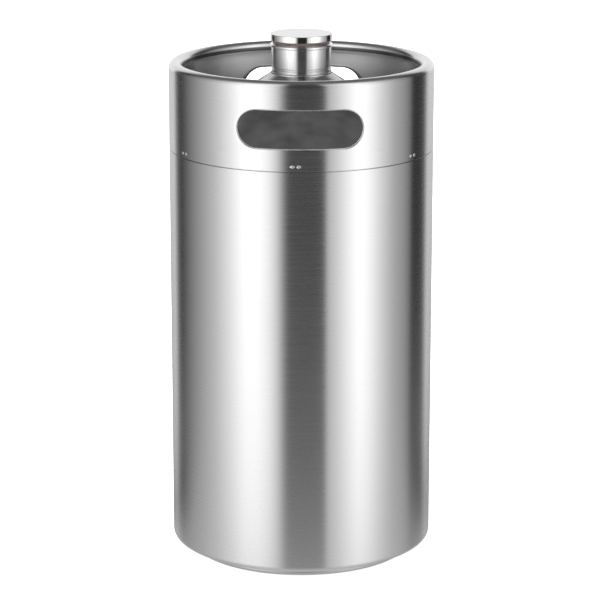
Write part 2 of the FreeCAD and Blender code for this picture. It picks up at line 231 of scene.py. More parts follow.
def on_wall(x, z, radius, side):
    """A point on a cylinder from its projected x and z, at the front (1) or the rear (-1)."""
    return (x * side, -side * math.sqrt(radius * radius - x * x), z)


def edge_section():
    """Turned edge of a hand hole, as (offset from the hole, depth below the outer face)."""
    half = GAUGE / 2
    support = 0.2 * MM
    start = EDGE_ROUND + support
    end = EDGE_DEPTH - half - support
    outer = arc(EDGE_ROUND, EDGE_ROUND, EDGE_ROUND, 270, 180, 8)
    down = [(0, start), (0, end)]
    tip = arc(half, EDGE_DEPTH - half, half, 180, 0, 6)
    back = [(GAUGE, end), (GAUGE, start)]
    inner = arc(EDGE_ROUND, EDGE_ROUND, EDGE_ROUND - GAUGE, 180, 270, 8)
    return outer + down + tip + back + inner


def ring_profile():
    """Closed profile of the ring from the outer wall's foot round to the inner wall's foot.
    Returns the points and the row ranges of the outer and the inner hole windows."""
    spring = BEAD_CENTRE
    centre = RADIUS - BEAD
    window_low = SEAM + HOLE_RISE - WINDOW_MARGIN
    window_high = SEAM + HOLE_RISE + HOLE_HEIGHT + WINDOW_MARGIN
    rows = [window_low + (window_high - window_low) * n / HOLE_ROWS for n in range(HOLE_ROWS + 1)]
    soft = SOFT_EDGE
    foot = RING_LOW.z + soft
    inside = RADIUS - GAUGE
    outer_foot = arc(RADIUS - soft, foot, soft, -90, 0, 3)
    outer_foot += straight((RADIUS, foot), (RADIUS, window_low))[1:]
    outer_top = straight((RADIUS, window_high), (RADIUS, spring))[1:]
    tip_angle = 180 + CURL
    bead = arc(centre, spring, BEAD, 0, tip_angle, 36)[1:]
    middle = BEAD - GAUGE / 2
    tip_r = centre + middle * math.cos(math.radians(tip_angle))
    tip_z = spring + middle * math.sin(math.radians(tip_angle))
    end = arc(tip_r, tip_z, GAUGE / 2, tip_angle, tip_angle + 180, 4)[1:]
    under = arc(centre, spring, BEAD - GAUGE, tip_angle, 0, 36)[1:]
    inner_top = straight((inside, spring), (inside, window_high))[1:]
    inner_foot = straight((inside, window_low), (inside, foot))[1:]
    inner_foot += arc(inside + soft, foot, soft, 180, 270, 3)[1:]
    outer_window = [(RADIUS, z) for z in rows]
    inner_window = [(inside, z) for z in reversed(rows)]
    profile = outer_foot[:-1] + outer_window + outer_top + bead + end + under + inner_top[:-1]
    inner_start = len(profile)
    profile += inner_window + inner_foot
    outer_start = len(outer_foot) - 1
    return profile, (outer_start, inner_start)


def window_loop(index, start, columns):
    """Vertex numbers round a hole window, from its first corner, in one direction."""
    last = start + HOLE_ROWS
    low = [index[start][c] for c in columns]
    far = [index[row][columns[-1]] for row in range(start + 1, last)]
    high = [index[last][c] for c in reversed(columns)]
    near = [index[row][columns[0]] for row in range(last - 1, start, -1)]
    return low + far + high + near


def places_towards_hole(starts, targets, step):
    """Where the loop at a step lies, from the window's edge (step 0) to the hole."""
    share = (step / RADIAL_LOOPS) ** LOOP_EASE
    places = []
    for start_x, (x, z) in zip(starts, targets):
        hole_x, hole_z = hole_point(x, z, EDGE_ROUND)
        places.append((start_x + (hole_x - start_x) * share, z + (hole_z - z) * share))
    return places


def matching_loop(points, outer_loop, inner_loop, side):
    """The inner window's loop in the order of the outer one, since its rows run downwards."""
    def key(number, radius):
        x, _, z = points[number]
        return (round(math.asin(x * side / radius), 4), round(z, 5))

    order = {key(n, RADIUS - GAUGE): n for n in inner_loop}
    return [order[key(n, RADIUS)] for n in outer_loop]


def cut_hole(points, faces, index, windows, side, columns):
    """Fill both windows of one hand hole and join them with its turned edge."""
    outer_loop, inner_loop = (window_loop(index, start, columns) for start in windows)
    inner_loop = matching_loop(points, outer_loop, inner_loop, side)
    targets = [(points[n][0] * side, points[n][2]) for n in outer_loop]
    outer_starts = [x for x, z in targets]
    inner_starts = [points[n][0] * side for n in inner_loop]
    # in over the outer face, round the turned edge, and out over the inner face
    inwards = range(1, RADIAL_LOOPS)
    loops = [(places_towards_hole(outer_starts, targets, step), RADIUS) for step in inwards]
    for offset, depth in edge_section():
        loops.append(([hole_point(x, z, offset) for x, z in targets], RADIUS - depth))
    for step in reversed(inwards):
        loops.append((places_towards_hole(inner_starts, targets, step), RADIUS - GAUGE))
    last_loop = outer_loop
    for places, radius in loops:
        first = len(points)
        points.extend(on_wall(x, z, radius, side) for x, z in places)
        loop = list(range(first, len(points)))
        add_strip(faces, last_loop, loop)
        last_loop = loop
    add_strip(faces, last_loop, inner_loop)


def handle_ring(material):
    """The ring: a lathed wall and rolled rim, with two hand holes let into its grid."""
    profile, windows = ring_profile()
    points = []
    index = [add_circle(points, r, z) for r, z in profile]
    rear = SEGMENTS // 2
    faces = []
    for row, here in enumerate(index):
        above = index[(row + 1) % len(index)]
        in_window = any(start <= row < start + HOLE_ROWS for start in windows)
        for s in range(SEGMENTS):
            from_front = min(s, SEGMENTS - 1 - s)
            from_rear = min(abs(s - rear), abs(s + 1 - rear))
            if in_window and min(from_front, from_rear) < HOLE_SPAN:
                continue
            following = (s + 1) % SEGMENTS
            faces.append((here[s], here[following], above[following], above[s]))
    for side, middle in ((1, 0), (-1, rear)):
        columns = [(middle + c) % SEGMENTS for c in range(-HOLE_SPAN, HOLE_SPAN + 1)]
        cut_hole(points, faces, index, windows, side, columns)
    piece = add_mesh("handle_ring_formed", points, faces, material, "keg", "handle_ring")
    return piece


# ---------------------------------------------------------------- turned and pressed pieces

def body_shell(material):
    """Straight wall with a rolled bottom corner and a short lip."""
    low = SHELL_LOW.z
    soft = SOFT_EDGE
    edge = SHELL_HIGH.z - soft
    inside = RADIUS - GAUGE
    lip = FOOT_RADIUS + GAUGE + 0.2 * MM
    knee = RADIUS - CORNER
    spacing = 12 * MM
    profile = [(lip, low + GAUGE), (lip, low)]
    profile += straight((lip, low), (knee, low))[1:]
    profile += arc(knee, low + CORNER, CORNER, -90, 0, 12)[1:]
    profile += straight((RADIUS, low + CORNER), (RADIUS, edge), spacing)[1:]
    profile += arc(RADIUS - soft, edge, soft, 0, 90, 3)[1:]
    profile += arc(inside + soft, edge, soft, 90, 180, 3)
    profile += straight((inside, edge), (inside, low + CORNER), spacing)[1:]
    profile += arc(knee, low + CORNER, CORNER - GAUGE, 0, -90, 12)[1:]
    piece = lathe("body_shell_drawn", profile, material, "keg", "body_shell")
    return piece


def base_pan(material):
    """Pressed base: flange, flat foot bead and a shallow dish."""
    foot = FOOT_RADIUS
    inside = foot - FOOT_WIDTH
    seat = SHELL_LOW.z + GAUGE
    rim = DISH_START
    turn = DISH_TURN
    edge = inside - turn
    crown = PAN_HIGH.z - GAUGE
    rise = crown - rim - turn
    dish = (edge * edge + rise * rise) / (2 * rise)
    half = math.degrees(math.asin(edge / dish))
    flange = PAN_HIGH.x
    profile = straight((flange, seat), (foot + GAUGE, seat))
    profile += arc(foot + GAUGE, seat - GAUGE, GAUGE, 90, 180, 5)[1:]
    profile += straight((foot, seat - GAUGE), (foot, FOOT_BEND))[1:]
    profile += arc(foot - FOOT_BEND, FOOT_BEND, FOOT_BEND, 0, -90, 8)[1:]
    profile += straight((foot - FOOT_BEND, 0), (inside + FOOT_BEND, 0))[1:]
    profile += arc(inside + FOOT_BEND, FOOT_BEND, FOOT_BEND, -90, -180, 8)[1:]
    profile += straight((inside, FOOT_BEND), (inside, rim))[1:]
    profile += arc(edge, rim, turn, 0, 90, 8)[1:]
    profile += arc(0, crown - dish, dish, 90 - half, 90, 16)[1:]
    profile += arc(0, crown + GAUGE - dish, dish, 90, 90 - half, 16)
    profile += arc(edge, rim, turn + GAUGE, 90, 0, 8)[1:]
    profile += straight((inside + GAUGE, rim), (inside + GAUGE, FOOT_BEND))[1:]
    profile += arc(inside + FOOT_BEND, FOOT_BEND, FOOT_BEND - GAUGE, 180, 270, 6)[1:]
    profile += straight((inside + FOOT_BEND, GAUGE), (foot - FOOT_BEND, GAUGE))[1:]
    profile += arc(foot - FOOT_BEND, FOOT_BEND, FOOT_BEND - GAUGE, -90, 0, 6)[1:]
    profile += straight((foot - GAUGE, FOOT_BEND), (foot - GAUGE, seat - GAUGE))[1:]
    profile += arc(foot + GAUGE, seat - GAUGE, GAUGE * 2, 180, 90, 6)[1:]
    profile += straight((foot + GAUGE, seat + GAUGE), (flange, seat + GAUGE))[1:]
    piece = lathe("base_pan_pressed", profile, material, "keg", "base_pan")
    return piece


def shoulder_cone(material):
    """Pressed cone with a rounded knuckle and a straight skirt."""
    skirt = CONE_HIGH.x
    slope = math.radians(SHOULDER_ANGLE)
    top = CONE_HIGH.z
    centre = skirt - KNUCKLE
    end_r = centre + KNUCKLE * math.sin(slope)
    high = top - (end_r - COLLAR_RADIUS) * math.tan(slope) - KNUCKLE * math.cos(slope)
    bend = 90 - SHOULDER_ANGLE
    outer_arc = arc(centre, high, KNUCKLE, 0, bend, 8)
    inner_arc = arc(centre, high, KNUCKLE - GAUGE, bend, 0, 8)
    inner_top = (COLLAR_RADIUS - GAUGE / math.sin(slope), top)
    spacing = 8 * MM
    profile = straight((skirt, CONE_LOW.z), (skirt, high))
    profile += outer_arc[1:]
    profile += straight(outer_arc[-1], (COLLAR_RADIUS, top), spacing)[1:]
    profile += [inner_top]
    profile += straight(inner_top, inner_arc[0], spacing)[1:]
    profile += inner_arc[1:]
    profile += straight((skirt - GAUGE, high), (skirt - GAUGE, CONE_LOW.z))[1:]
    piece = lathe("shoulder_cone_pressed", profile, material, "keg", "shoulder_cone")
    return piece


def score_line(middle):
    """A shallow round groove in the collar, centred on a height, as (r, z)."""
    steps = 8
    groove = []
    for n in range(steps + 1):
        depth = SCORE_DEPTH * math.sin(math.pi * n / steps) ** 2
        groove.append((COLLAR_RADIUS - depth, middle + SCORE_WIDTH * (n / steps - 0.5)))
    return groove


def collar(material):
    """Turned neck: two score lines, a bevelled lip with an undercut and a flat top."""
    low = COLLAR_LOW.z
    high = COLLAR_HIGH.z
    wide = COLLAR_HIGH.x
    ridge = high - RIDGE_DROP
    bevel = high - BEVEL_DROP
    soft = 0.2 * MM
    undercut = 0.5 * MM
    chamfer = 0.8 * MM
    close = 0.1 * MM
    profile = [(COLLAR_BORE, low), (COLLAR_RADIUS, low)]
    for rise in SCORE_RISES:
        groove = score_line(low + rise)
        profile += straight(profile[-1], groove[0], support=0.05 * MM)[1:]
        profile += groove[1:]
    profile += straight(profile[-1], (COLLAR_RADIUS, ridge - undercut))[1:]
    profile += arc(wide - soft, ridge + soft, soft, -60, 0, 4)
    profile += arc(wide - 2 * soft, bevel - soft, 2 * soft, 0, 50, 5)
    bevel_foot = (wide - 2 * soft, bevel + 0.28 * MM)
    bevel_top = (COLLAR_LAND + 0.1 * MM, high - 0.06 * MM)
    profile += straight(bevel_foot, bevel_top, support=close)
    profile += straight((COLLAR_LAND, high), (COLLAR_BORE + chamfer, high), support=close)
    profile += straight((COLLAR_BORE, high - chamfer), (COLLAR_BORE, low))
    piece = lathe("neck_collar_turned", profile, material, "keg", "neck_collar")
    return piece


def cap_disc(material):
    """Polished disc: flat top, straight side, and an underside that slopes in to the seal."""
    low = DISC_LOW.z
    high = DISC_HIGH.z
    wide = DISC_HIGH.x
    edge = 0.35 * MM
    lower = high - DISC_SIDE
    knee = 0.25 * MM
    knee_z = lower + 0.15 * MM
    core = 4 * MM
    slope_start = (DISC_FOOT + 0.05 * MM, low)
    slope_end = (wide - 0.3 * MM, lower - 0.1 * MM)
    profile = [(0, low)] + straight((core, low), (DISC_FOOT, low))
    profile += straight(slope_start, slope_end, support=0.1 * MM)
    profile += arc(wide - knee, knee_z, knee, -72, 0, 4)
    profile += straight((wide, knee_z), (wide, high - edge))[1:]
    profile += arc(wide - edge, high - edge, edge, 0, 90, 5)[1:]
    profile += straight((wide - edge, high), (core, high), support=0.3 * MM)[1:]
    profile += [(0, high)]
    piece = lathe("cap_disc_turned", profile, material, "cap", "cap_disc")
    return piece


def plug(material):
    """Tube under the disc that carries the outside thread."""
    low = PLUG_LOW.z
    high = PLUG_HIGH.z
    soft = 0.6 * MM
    profile = straight((PLUG_BORE, low), (PLUG_CORE - soft, low), support=0.1 * MM)
    profile += straight((PLUG_CORE, low + soft), (PLUG_CORE, high))
    profile += straight((PLUG_BORE, high), (PLUG_BORE, low))
    piece = lathe("cap_plug_tube", profile, material, "cap", "cap_plug")
    return piece


def thread(name, root, towards, start_z, material, body):
    """A one-start ridge with run-outs at both ends; towards is -1 for inside, 1 for outside."""
    steps_per_turn = 144
    steps = int(THREAD_TURNS * steps_per_turn)
    base_half = 1.1 * MM
    tip_half = 0.5 * MM
    buried = 0.3 * MM
    rim = 0.22 * MM
    run_out_turns = 0.22
    narrowest = 0.35
    flank = math.atan2(THREAD_DEPTH, base_half - tip_half)
    # half of the section, from its buried root to its rounded crest, then the same mirrored
    outline = [(-buried, -base_half), (0, -base_half)]
    outline += [(THREAD_DEPTH - rim, -tip_half - rim / math.tan(flank)),
                (THREAD_DEPTH - rim * 0.25, -tip_half - rim * 0.1),
                (THREAD_DEPTH, -tip_half + rim * 0.5)]
    outline += [(depth, -offset) for depth, offset in reversed(outline)]
    points = []
    for step in range(steps + 1):
        turn = step / steps_per_turn
        run_out = min(1.0, min(turn, THREAD_TURNS - turn) / run_out_turns)
        swell = math.sin(run_out * math.pi / 2)
        azimuth = math.pi / 2 + 2 * math.pi * turn
        height = start_z + turn * THREAD_PITCH
        for depth, offset in outline:
            reach = depth * swell if depth > 0 else depth
            width = offset * (narrowest + (1 - narrowest) * swell)
            points.append(spin(root + towards * reach, height + width, azimuth))
    loops = numbered_loops(steps + 1, len(outline))
    faces = []
    for loop, following in zip(loops, loops[1:]):
        add_strip(faces, loop, following)
    faces.append(list(loops[0]))
    faces.append(list(reversed(loops[-1])))
    piece = add_mesh(name, points, faces, material, body, None, crease=40)
    return piece


def seal(material):
    """Silicone ring with full rounded edges."""
    low = SEAL_LOW.z
    high = SEAL_HIGH.z
    outer = SEAL_HIGH.x
    bore = PLUG_CORE + 0.3 * MM
    soft = 0.6 * MM
    chamfer = 0.2 * MM
    close = 0.1 * MM
    profile = arc(outer - soft, low + soft, soft, -90, 0, 5)
    profile += arc(outer - soft, high - soft, soft, 0, 90, 5)
    profile += straight((outer - soft, high), (bore + chamfer, high), support=close)[1:]
    profile += [(bore, high - chamfer), (bore, low + chamfer)]
    profile += straight((bore + chamfer, low), (outer - soft, low), support=close)
    piece = lathe("cap_seal_ring", profile, material, "seal", "cap_seal")
    return piece


# ---------------------------------------------------------------- welds

def weld_bead(name, base, ripples, swell, material, node):
    """A closed bead profile turned round the axis, its outer face rippled like a torch weld.
    A base point is (r, z) and the way it moves as the ripple swells, in r and z."""
    steps = 8
    mean_wave = 0.64
    segments = ripples * steps
    points = []
    for s in range(segments):
        azimuth = 2 * math.pi * s / segments
        wave = abs(math.sin(math.pi * (s % steps) / steps)) - mean_wave
        # the bead also grows and shrinks slowly along its way, as a hand weld does
        wander = 0.14 * math.sin(azimuth * 5 + 1.3) + 0.10 * math.sin(azimuth * 13)
        push = swell * (wave + wander)
        for r, z, out_r, out_z in base:
            points.append(spin(r + out_r * push, z + out_z * push, azimuth))
    loops = numbered_loops(segments, len(base))
    faces = []
    for loop, following in zip(loops, loops[1:] + loops[:1]):
        add_strip(faces, loop, following)
    piece = add_mesh(name, points, faces, material, "keg", node, crease=60)
    return piece


def neck_weld(material):
    """Fillet bead in the corner between the cone and the collar."""
    low = COLLAR_LOW.z
    drop = math.tan(math.radians(SHOULDER_ANGLE))
    leg = 0.8 * MM
    bulge = 0.15 * MM
    out_r, out_z = 0.8, 0.6
    steps = 8
    base = [(COLLAR_RADIUS - 0.3 * MM, low, 0, 0)]
    for n in range(steps + 1):
        share = n / steps
        r = COLLAR_RADIUS + leg * (1 - share)
        z = low - leg * drop * (1 - share) + leg * share
        weight = math.sin(math.pi * share)
        push = bulge * weight
        base.append((r + push * out_r, z + push * out_z, weight * out_r, weight * out_z))
    return weld_bead("neck_weld_bead", base, 160, 0.06 * MM, material, "neck_weld")


def base_weld(material):
    """Bead in the corner between the shell's lip and the foot."""
    low = SHELL_LOW.z
    leg = 1.8 * MM
    bulge = 0.3 * MM
    out = 0.7
    steps = 8
    base = [(FOOT_RADIUS - 0.3 * MM, low + 0.3 * MM, 0, 0)]
    for n in range(steps + 1):
        share = n / steps
        r = FOOT_RADIUS + leg * (1 - share)
        z = low - leg * share
        weight = math.sin(math.pi * share)
        push = bulge * weight
        base.append((r + push * out, z - push * out, weight * out, -weight * out))
    return weld_bead("base_weld_bead", base, 320, 0.16 * MM, material, "base_weld")


def add_dot(points, faces, number, side):
    """One low domed dot; number is its pair, and side is -0.5 or 0.5 within the pair."""
    across = 24
    turn = math.radians(DOT_AZIMUTHS[number]) + side * DOT_SPACING / RADIUS
    out = Vector(spin(1, 0, turn))
    along = Vector((math.cos(turn), math.sin(turn), 0))
    up = Vector((0, 0, 1))
    middle = Vector(spin(RADIUS, SEAM + DOT_RISE, turn))
    # wider than high, and no two dots quite alike
    wide = 1.1 + 0.05 * math.sin(number * 2.3 + side)
    high = 0.8
    first = len(points)
    for radius, height in DOT_SECTION:
        for s in range(across):
            angle = 2 * math.pi * s / across
            reach = radius * (1 + 0.03 * math.sin(3 * angle + number + side * 4))
            flat = along * (reach * wide * math.cos(angle)) + up * (reach * high * math.sin(angle))
            # the dot follows the wall's curve
            fall = (flat.x ** 2 + flat.y ** 2) / (2 * RADIUS)
            points.append(middle + flat + out * (height - fall))
    loops = [range(first + n * across, first + (n + 1) * across) for n in range(len(DOT_SECTION))]
    for loop, following in zip(loops, loops[1:]):
        add_strip(faces, loop, following)
    crown = len(points)
    points.append(middle + out * DOT_CROWN)
    root = len(points)
    points.append(middle + out * DOT_ROOT)
    add_strip(faces, loops[-1], [crown] * across)
    add_strip(faces, [root] * across, loops[0])


def weld_dots(material):
    """Twelve low domed dots, in pairs just above the seam."""
    points = []
    faces = []
    for number in range(len(DOT_AZIMUTHS)):
        for side in (-0.5, 0.5):
            add_dot(points, faces, number, side)
    piece = add_mesh("spot_weld_dots", points, faces, material, "keg", "spot_welds", crease=50)
    return piece


# ---------------------------------------------------------------- materials

class Nodes:
    """Short calls for building one node tree."""

    def __init__(self, tree):
        self.tree = tree

    def add(self, kind, **settings):
        """A new node with its settings."""
        node = self.tree.nodes.new(kind)
        for name, value in settings.items():
            setattr(node, name, value)
        return node

    def put(self, socket, value):
        """Link a socket to another, or give it a value."""
        if isinstance(value, bpy.types.NodeSocket):
            self.tree.links.new(value, socket)
        else:
            socket.default_value = value

    def math(self, operation, first, second=0.0):
        """A sum, product or other operation on one or two numbers."""
        node = self.add("ShaderNodeMath", operation=operation)
        self.put(node.inputs[0], first)
        self.put(node.inputs[1], second)
        return node.outputs[0]

    def axes(self, vector):
        """The X, Y and Z sockets of a vector."""
        node = self.add("ShaderNodeSeparateXYZ")
        self.put(node.inputs[0], vector)
        return node.outputs

    def place(self, scale):
        """Object coordinates times a scale on each axis, so a noise has that many cells a metre."""
        here = self.add("ShaderNodeTexCoord")
        stretch = self.add("ShaderNodeMapping")
        self.put(stretch.inputs["Vector"], here.outputs["Object"])
        stretch.inputs["Scale"].default_value = scale
        return stretch.outputs["Vector"]

    def turned_place(self):
        """Distance from the keg's axis and height above the floor."""
        here = self.add("ShaderNodeTexCoord")
        axes = self.axes(here.outputs["Object"])
        squares = [self.math("POWER", axes[axis], 2.0) for axis in ("X", "Y")]
        return self.math("SQRT", self.math("ADD", *squares)), axes["Z"]

    def noise(self, vector, detail=3.0, rough=0.55):
        """Soft noise, mostly between 0.3 and 0.7."""
        node = self.add("ShaderNodeTexNoise")
        self.put(node.inputs["Vector"], vector)
        node.inputs["Scale"].default_value = 1.0
        node.inputs["Detail"].default_value = detail
        node.inputs["Roughness"].default_value = rough
        return node.outputs["Fac"]

    def spread(self, value, low, high, from_low=0.3, from_high=0.7):
        """Map one range evenly to another and hold its ends; the usual input is a noise."""
        node = self.add("ShaderNodeMapRange")
        self.put(node.inputs["Value"], value)
        node.inputs["From Min"].default_value = from_low
        node.inputs["From Max"].default_value = from_high
        node.inputs["To Min"].default_value = low
        node.inputs["To Max"].default_value = high
        return node.outputs["Result"]

    def fade_in(self, value, start, end):
        """An even change from 0 at start to 1 at end, held beyond both."""
        return self.spread(value, 0.0, 1.0, start, end)

    def fade_out(self, value, start, end):
        """An even change from 1 at start to 0 at end, held beyond both."""
        return self.spread(value, 1.0, 0.0, start, end)

    def mix(self, factor, first, second):
        """Mix two numbers."""
        node = self.add("ShaderNodeMix", data_type="FLOAT")
        self.put(node.inputs[0], factor)
        self.put(node.inputs[2], first)
        self.put(node.inputs[3], second)
        return node.outputs[0]

    def blend(self, factor, first, second):
        """Mix two colours."""
        node = self.add("ShaderNodeMix", data_type="RGBA")
        self.put(node.inputs["Factor"], factor)
        for socket, value in zip((s for s in node.inputs if s.type == "RGBA"), (first, second)):
            self.put(socket, value)
        return next(s for s in node.outputs if s.type == "RGBA")

    def bump(self, height, strength, distance, normal=None):
        """Relief from a height, on top of an earlier normal if there is one."""
        node = self.add("ShaderNodeBump")
        node.inputs["Strength"].default_value = strength
        node.inputs["Distance"].default_value = distance
        self.put(node.inputs["Height"], height)
        if normal is not None:
            self.put(node.inputs["Normal"], normal)
        return node.outputs["Normal"]


def grey(value, tint=(1, 1, 1)):
    """A grey with an optional tint, as RGBA."""
    return (*(value * part for part in tint), 1)


def new_material(name):
    """A new material with its node helper and its Principled shader."""
    material = bpy.data.materials.new(name)
    material.use_nodes = True
    shader = next(n for n in material.node_tree.nodes if n.type == "BSDF_PRINCIPLED")
    return material, Nodes(material.node_tree), shader


def brush_tangent(net, shader, amount):
    """Stretch the gloss across brush lines that run round the axis."""
    tangent = net.add("ShaderNodeTangent", direction_type="RADIAL", axis="Z")
    net.put(shader.inputs["Tangent"], tangent.outputs["Tangent"])
    shader.inputs["Anisotropic"].default_value = amount
    shader.inputs["Anisotropic Rotation"].default_value = 0.25


def rolled_rim_looks(net, grain, tone, colour, rough):
    """The handle ring's changes to brushed sheet, as colour, roughness and metalness.
    The rolled rim is glossy above its bend, with a band of painted shade inside its curl. The inner
    face is painted paler as painted light, and painted shade darkens it towards the shoulder down
    to the holes' middle. The holes' turned edges carry painted shade, with a burnished lower lip."""
    radius, height = net.turned_place()
    gloss = net.fade_in(height, BEAD_CENTRE + 1.5 * MM, BEAD_CENTRE + 3.5 * MM)
    inner = net.fade_out(radius, RADIUS - GAUGE * 0.8, RADIUS - GAUGE * 0.4)
    inner = net.math("MULTIPLY", inner, net.math("SUBTRACT", 1.0, gloss))
    # painted shade: a dark band round the inside of the curl, near the height of its centre
    from_curl = net.math("ABSOLUTE", net.math("SUBTRACT", height, BEAD_CENTRE - 0.2 * MM))
    curl_painted_shade = net.math("MULTIPLY", net.fade_out(radius, RADIUS - BEAD * 1.5, RADIUS - BEAD * 1.2),
                    net.fade_out(from_curl, 1.2 * MM, 2.0 * MM))
    burnish = net.fade_out(height, HOLE_MIDDLE - 4 * MM, HOLE_MIDDLE + 4 * MM)
    # painted shade: the inner face darkens from below the rim down to the holes' middle
    inner_painted_shade = net.math("MULTIPLY", net.spread(height, 0.0, 0.62, RIM_TOP - 13 * MM, RIM_TOP - 33 * MM),
                    net.math("SUBTRACT", 1.0, burnish))
    # painted shade on the holes' turned edges; the rim's curl is as deep as those edges, so they
    # are only looked for below it
    edge = net.math("MULTIPLY", net.fade_out(radius, RADIUS - 2.8 * MM, RADIUS - 1.9 * MM),
                    net.fade_out(height, BEAD_CENTRE - 7 * MM, BEAD_CENTRE - 5 * MM))
    # painted light: the inner face is paler than the brushed outside of the same sheet
    face = net.blend(net.spread(tone, 0, 1), grey(0.84), grey(0.90))
    face = net.blend(inner_painted_shade, face, grey(0.0))
    # painted shade on the turned edges, painted light and shade on the inner face
    colour = net.blend(inner, colour, net.blend(edge, face, grey(0.14)))
    # painted shade inside the rim's curl
    colour = net.blend(curl_painted_shade, colour, grey(0.16))
    rough = net.mix(inner, rough, net.spread(grain, 0.30, 0.36))
    rough = net.mix(gloss, rough, net.spread(grain, 0.12, 0.15))
    metal = net.mix(net.math("MULTIPLY", inner, burnish), 1.0, 0.8)
    return colour, rough, metal


def brushed_steel(name, rolled_rim=False):
    """Satin sheet with long, fine brush lines round the keg and a few deeper ones.
    With rolled_rim it also has the handle ring's own looks, painted light and shade among them."""
    material, net, shader = new_material(name)
    grain = net.noise(net.place((22, 22, 1500)), detail=4, rough=0.6)
    hairs = net.noise(net.place((9, 9, 2600)), detail=2, rough=0.5)
    patches = net.noise(net.place((14, 14, 9)), detail=2)
    tone = net.math("ADD", net.math("MULTIPLY", grain, 0.7), net.math("MULTIPLY", patches, 0.3))
    colour = net.blend(net.spread(tone, 0, 1), grey(0.68), grey(0.75))
    rough = net.math("ADD", net.spread(grain, 0.25, 0.30), net.spread(patches, -0.01, 0.02))
    metal = 1.0
    if rolled_rim:
        colour, rough, metal = rolled_rim_looks(net, grain, tone, colour, rough)
    net.put(shader.inputs["Metallic"], metal)
    net.put(shader.inputs["Base Color"], colour)
    net.put(shader.inputs["Roughness"], rough)
    lines = net.bump(grain, 0.10, 0.03 * MM)
    deep = net.fade_in(hairs, 0.62, 0.72)
    net.put(shader.inputs["Normal"], net.bump(deep, 0.08, 0.03 * MM, lines))
    brush_tangent(net, shader, 1.0)
    return material


def pressed_steel():
    """Plain pressed sheet, duller, with a slight orange-peel surface."""
    material, net, shader = new_material("pressed_steel_sheet")
    peel = net.noise(net.place((900, 900, 900)), detail=2)
    grain = net.noise(net.place((25, 25, 1300)), detail=3)
    patches = net.noise(net.place((30, 30, 30)), detail=3)
    shader.inputs["Metallic"].default_value = 1.0
    colour = net.blend(net.spread(patches, 0, 1), grey(0.57), grey(0.64))
    rough = net.math("ADD", net.spread(patches, 0.3, 0.4), net.spread(grain, 0, 0.04))
    net.put(shader.inputs["Base Color"], colour)
    net.put(shader.inputs["Roughness"], rough)
    skin = net.bump(peel, 0.12, 0.05 * MM)
    net.put(shader.inputs["Normal"], net.bump(grain, 0.08, 0.03 * MM, skin))
    brush_tangent(net, shader, 0.35)
    return material


def turned_steel(name, tone, smoothest, roughest, stretch, cloud=0.0, lean=0.0):
    """Turned or spun steel: fine rings round the axis under a bright gloss with faint smudges.
    Cloud is how far the tone wanders towards black, and lean tips the shading upwards."""
    rings_per_metre = 4200.0
    material, net, shader = new_material(name)
    radius, height = net.turned_place()
    rings = net.add("ShaderNodeCombineXYZ")
    net.put(rings.inputs["X"], net.math("MULTIPLY", radius, rings_per_metre))
    net.put(rings.inputs["Z"], net.math("MULTIPLY", height, rings_per_metre))
    turning = net.noise(rings.outputs["Vector"], detail=3)
    smudge = net.noise(net.place((60, 60, 60)), detail=3)
    wander = net.noise(net.place((34, 34, 34)), detail=2)
    colour = net.blend(net.spread(turning, 0, 1), grey(tone - 0.04), grey(tone + 0.04))
    colour = net.blend(net.spread(wander, cloud, 0), colour, grey(0.0))
    rough = net.math("ADD", net.spread(smudge, smoothest, roughest), net.spread(turning, 0, 0.03))
    shader.inputs["Metallic"].default_value = 1.0
    net.put(shader.inputs["Base Color"], colour)
    net.put(shader.inputs["Roughness"], rough)
    tipped = net.add("ShaderNodeVectorMath", operation="ADD")
    net.put(tipped.inputs[0], net.add("ShaderNodeNewGeometry").outputs["Normal"])
    tipped.inputs[1].default_value = (0, 0, lean)
    leaning = net.add("ShaderNodeVectorMath", operation="NORMALIZE")
    net.put(leaning.inputs[0], tipped.outputs[0])
    net.put(shader.inputs["Normal"], net.bump(turning, 0.05, 0.02 * MM, leaning.outputs[0]))
    brush_tangent(net, shader, stretch)
    return material


def weld_metal(name, tone):
    """Bare weld: frosty ripples with a faint straw and blue heat tint."""
    material, net, shader = new_material(name)
    frost = net.noise(net.place((1800, 1800, 1800)), detail=3)
    heat = net.noise(net.place((160, 160, 160)), detail=2)
    warm = net.blend(net.spread(heat, 0, 1, 0.35, 0.6), grey(tone), grey(tone, (1.0, 0.96, 0.90)))
    cold = grey(tone - 0.14, (0.92, 0.96, 1.02))
    tint = net.blend(net.spread(heat, 0, 0.5, 0.58, 0.72), warm, cold)
    shader.inputs["Metallic"].default_value = 1.0
    net.put(shader.inputs["Base Color"], tint)
    net.put(shader.inputs["Roughness"], net.spread(frost, 0.35, 0.50))
    net.put(shader.inputs["Normal"], net.bump(frost, 0.15, 0.04 * MM))
    return material


def silicone():
    """Satin pink-brown rubber with a dusty bloom."""
    material, net, shader = new_material("silicone_pink_brown")
    bloom = net.noise(net.place((220, 220, 220)), detail=4)
    pores = net.noise(net.place((2500, 2500, 2500)), detail=2)
    clean = (0.24, 0.165, 0.155, 1)
    dusty = (0.31, 0.225, 0.215, 1)
    net.put(shader.inputs["Base Color"], net.blend(net.spread(bloom, 0, 1), clean, dusty))
    net.put(shader.inputs["Roughness"], net.spread(bloom, 0.42, 0.58))
    net.put(shader.inputs["Normal"], net.bump(pores, 0.12, 0.04 * MM))
    return material


def floor_material():
    """Plain pale studio table."""
    material, net, shader = new_material("studio_floor")
    paint = net.noise(net.place((3, 3, 3)), detail=2)
    net.put(shader.inputs["Base Color"], net.blend(net.spread(paint, 0, 1), grey(0.90), grey(0.92)))
    net.put(shader.inputs["Roughness"], net.spread(paint, 0.9, 0.95))
    shader.inputs["Specular IOR Level"].default_value = 0.0
    # lit a little from beneath, like a product table, so that only a trace of shadow is left
    shader.inputs["Emission Color"].default_value = grey(1.0)
    shader.inputs["Emission Strength"].default_value = 0.75
    return material


# ---------------------------------------------------------------- studio

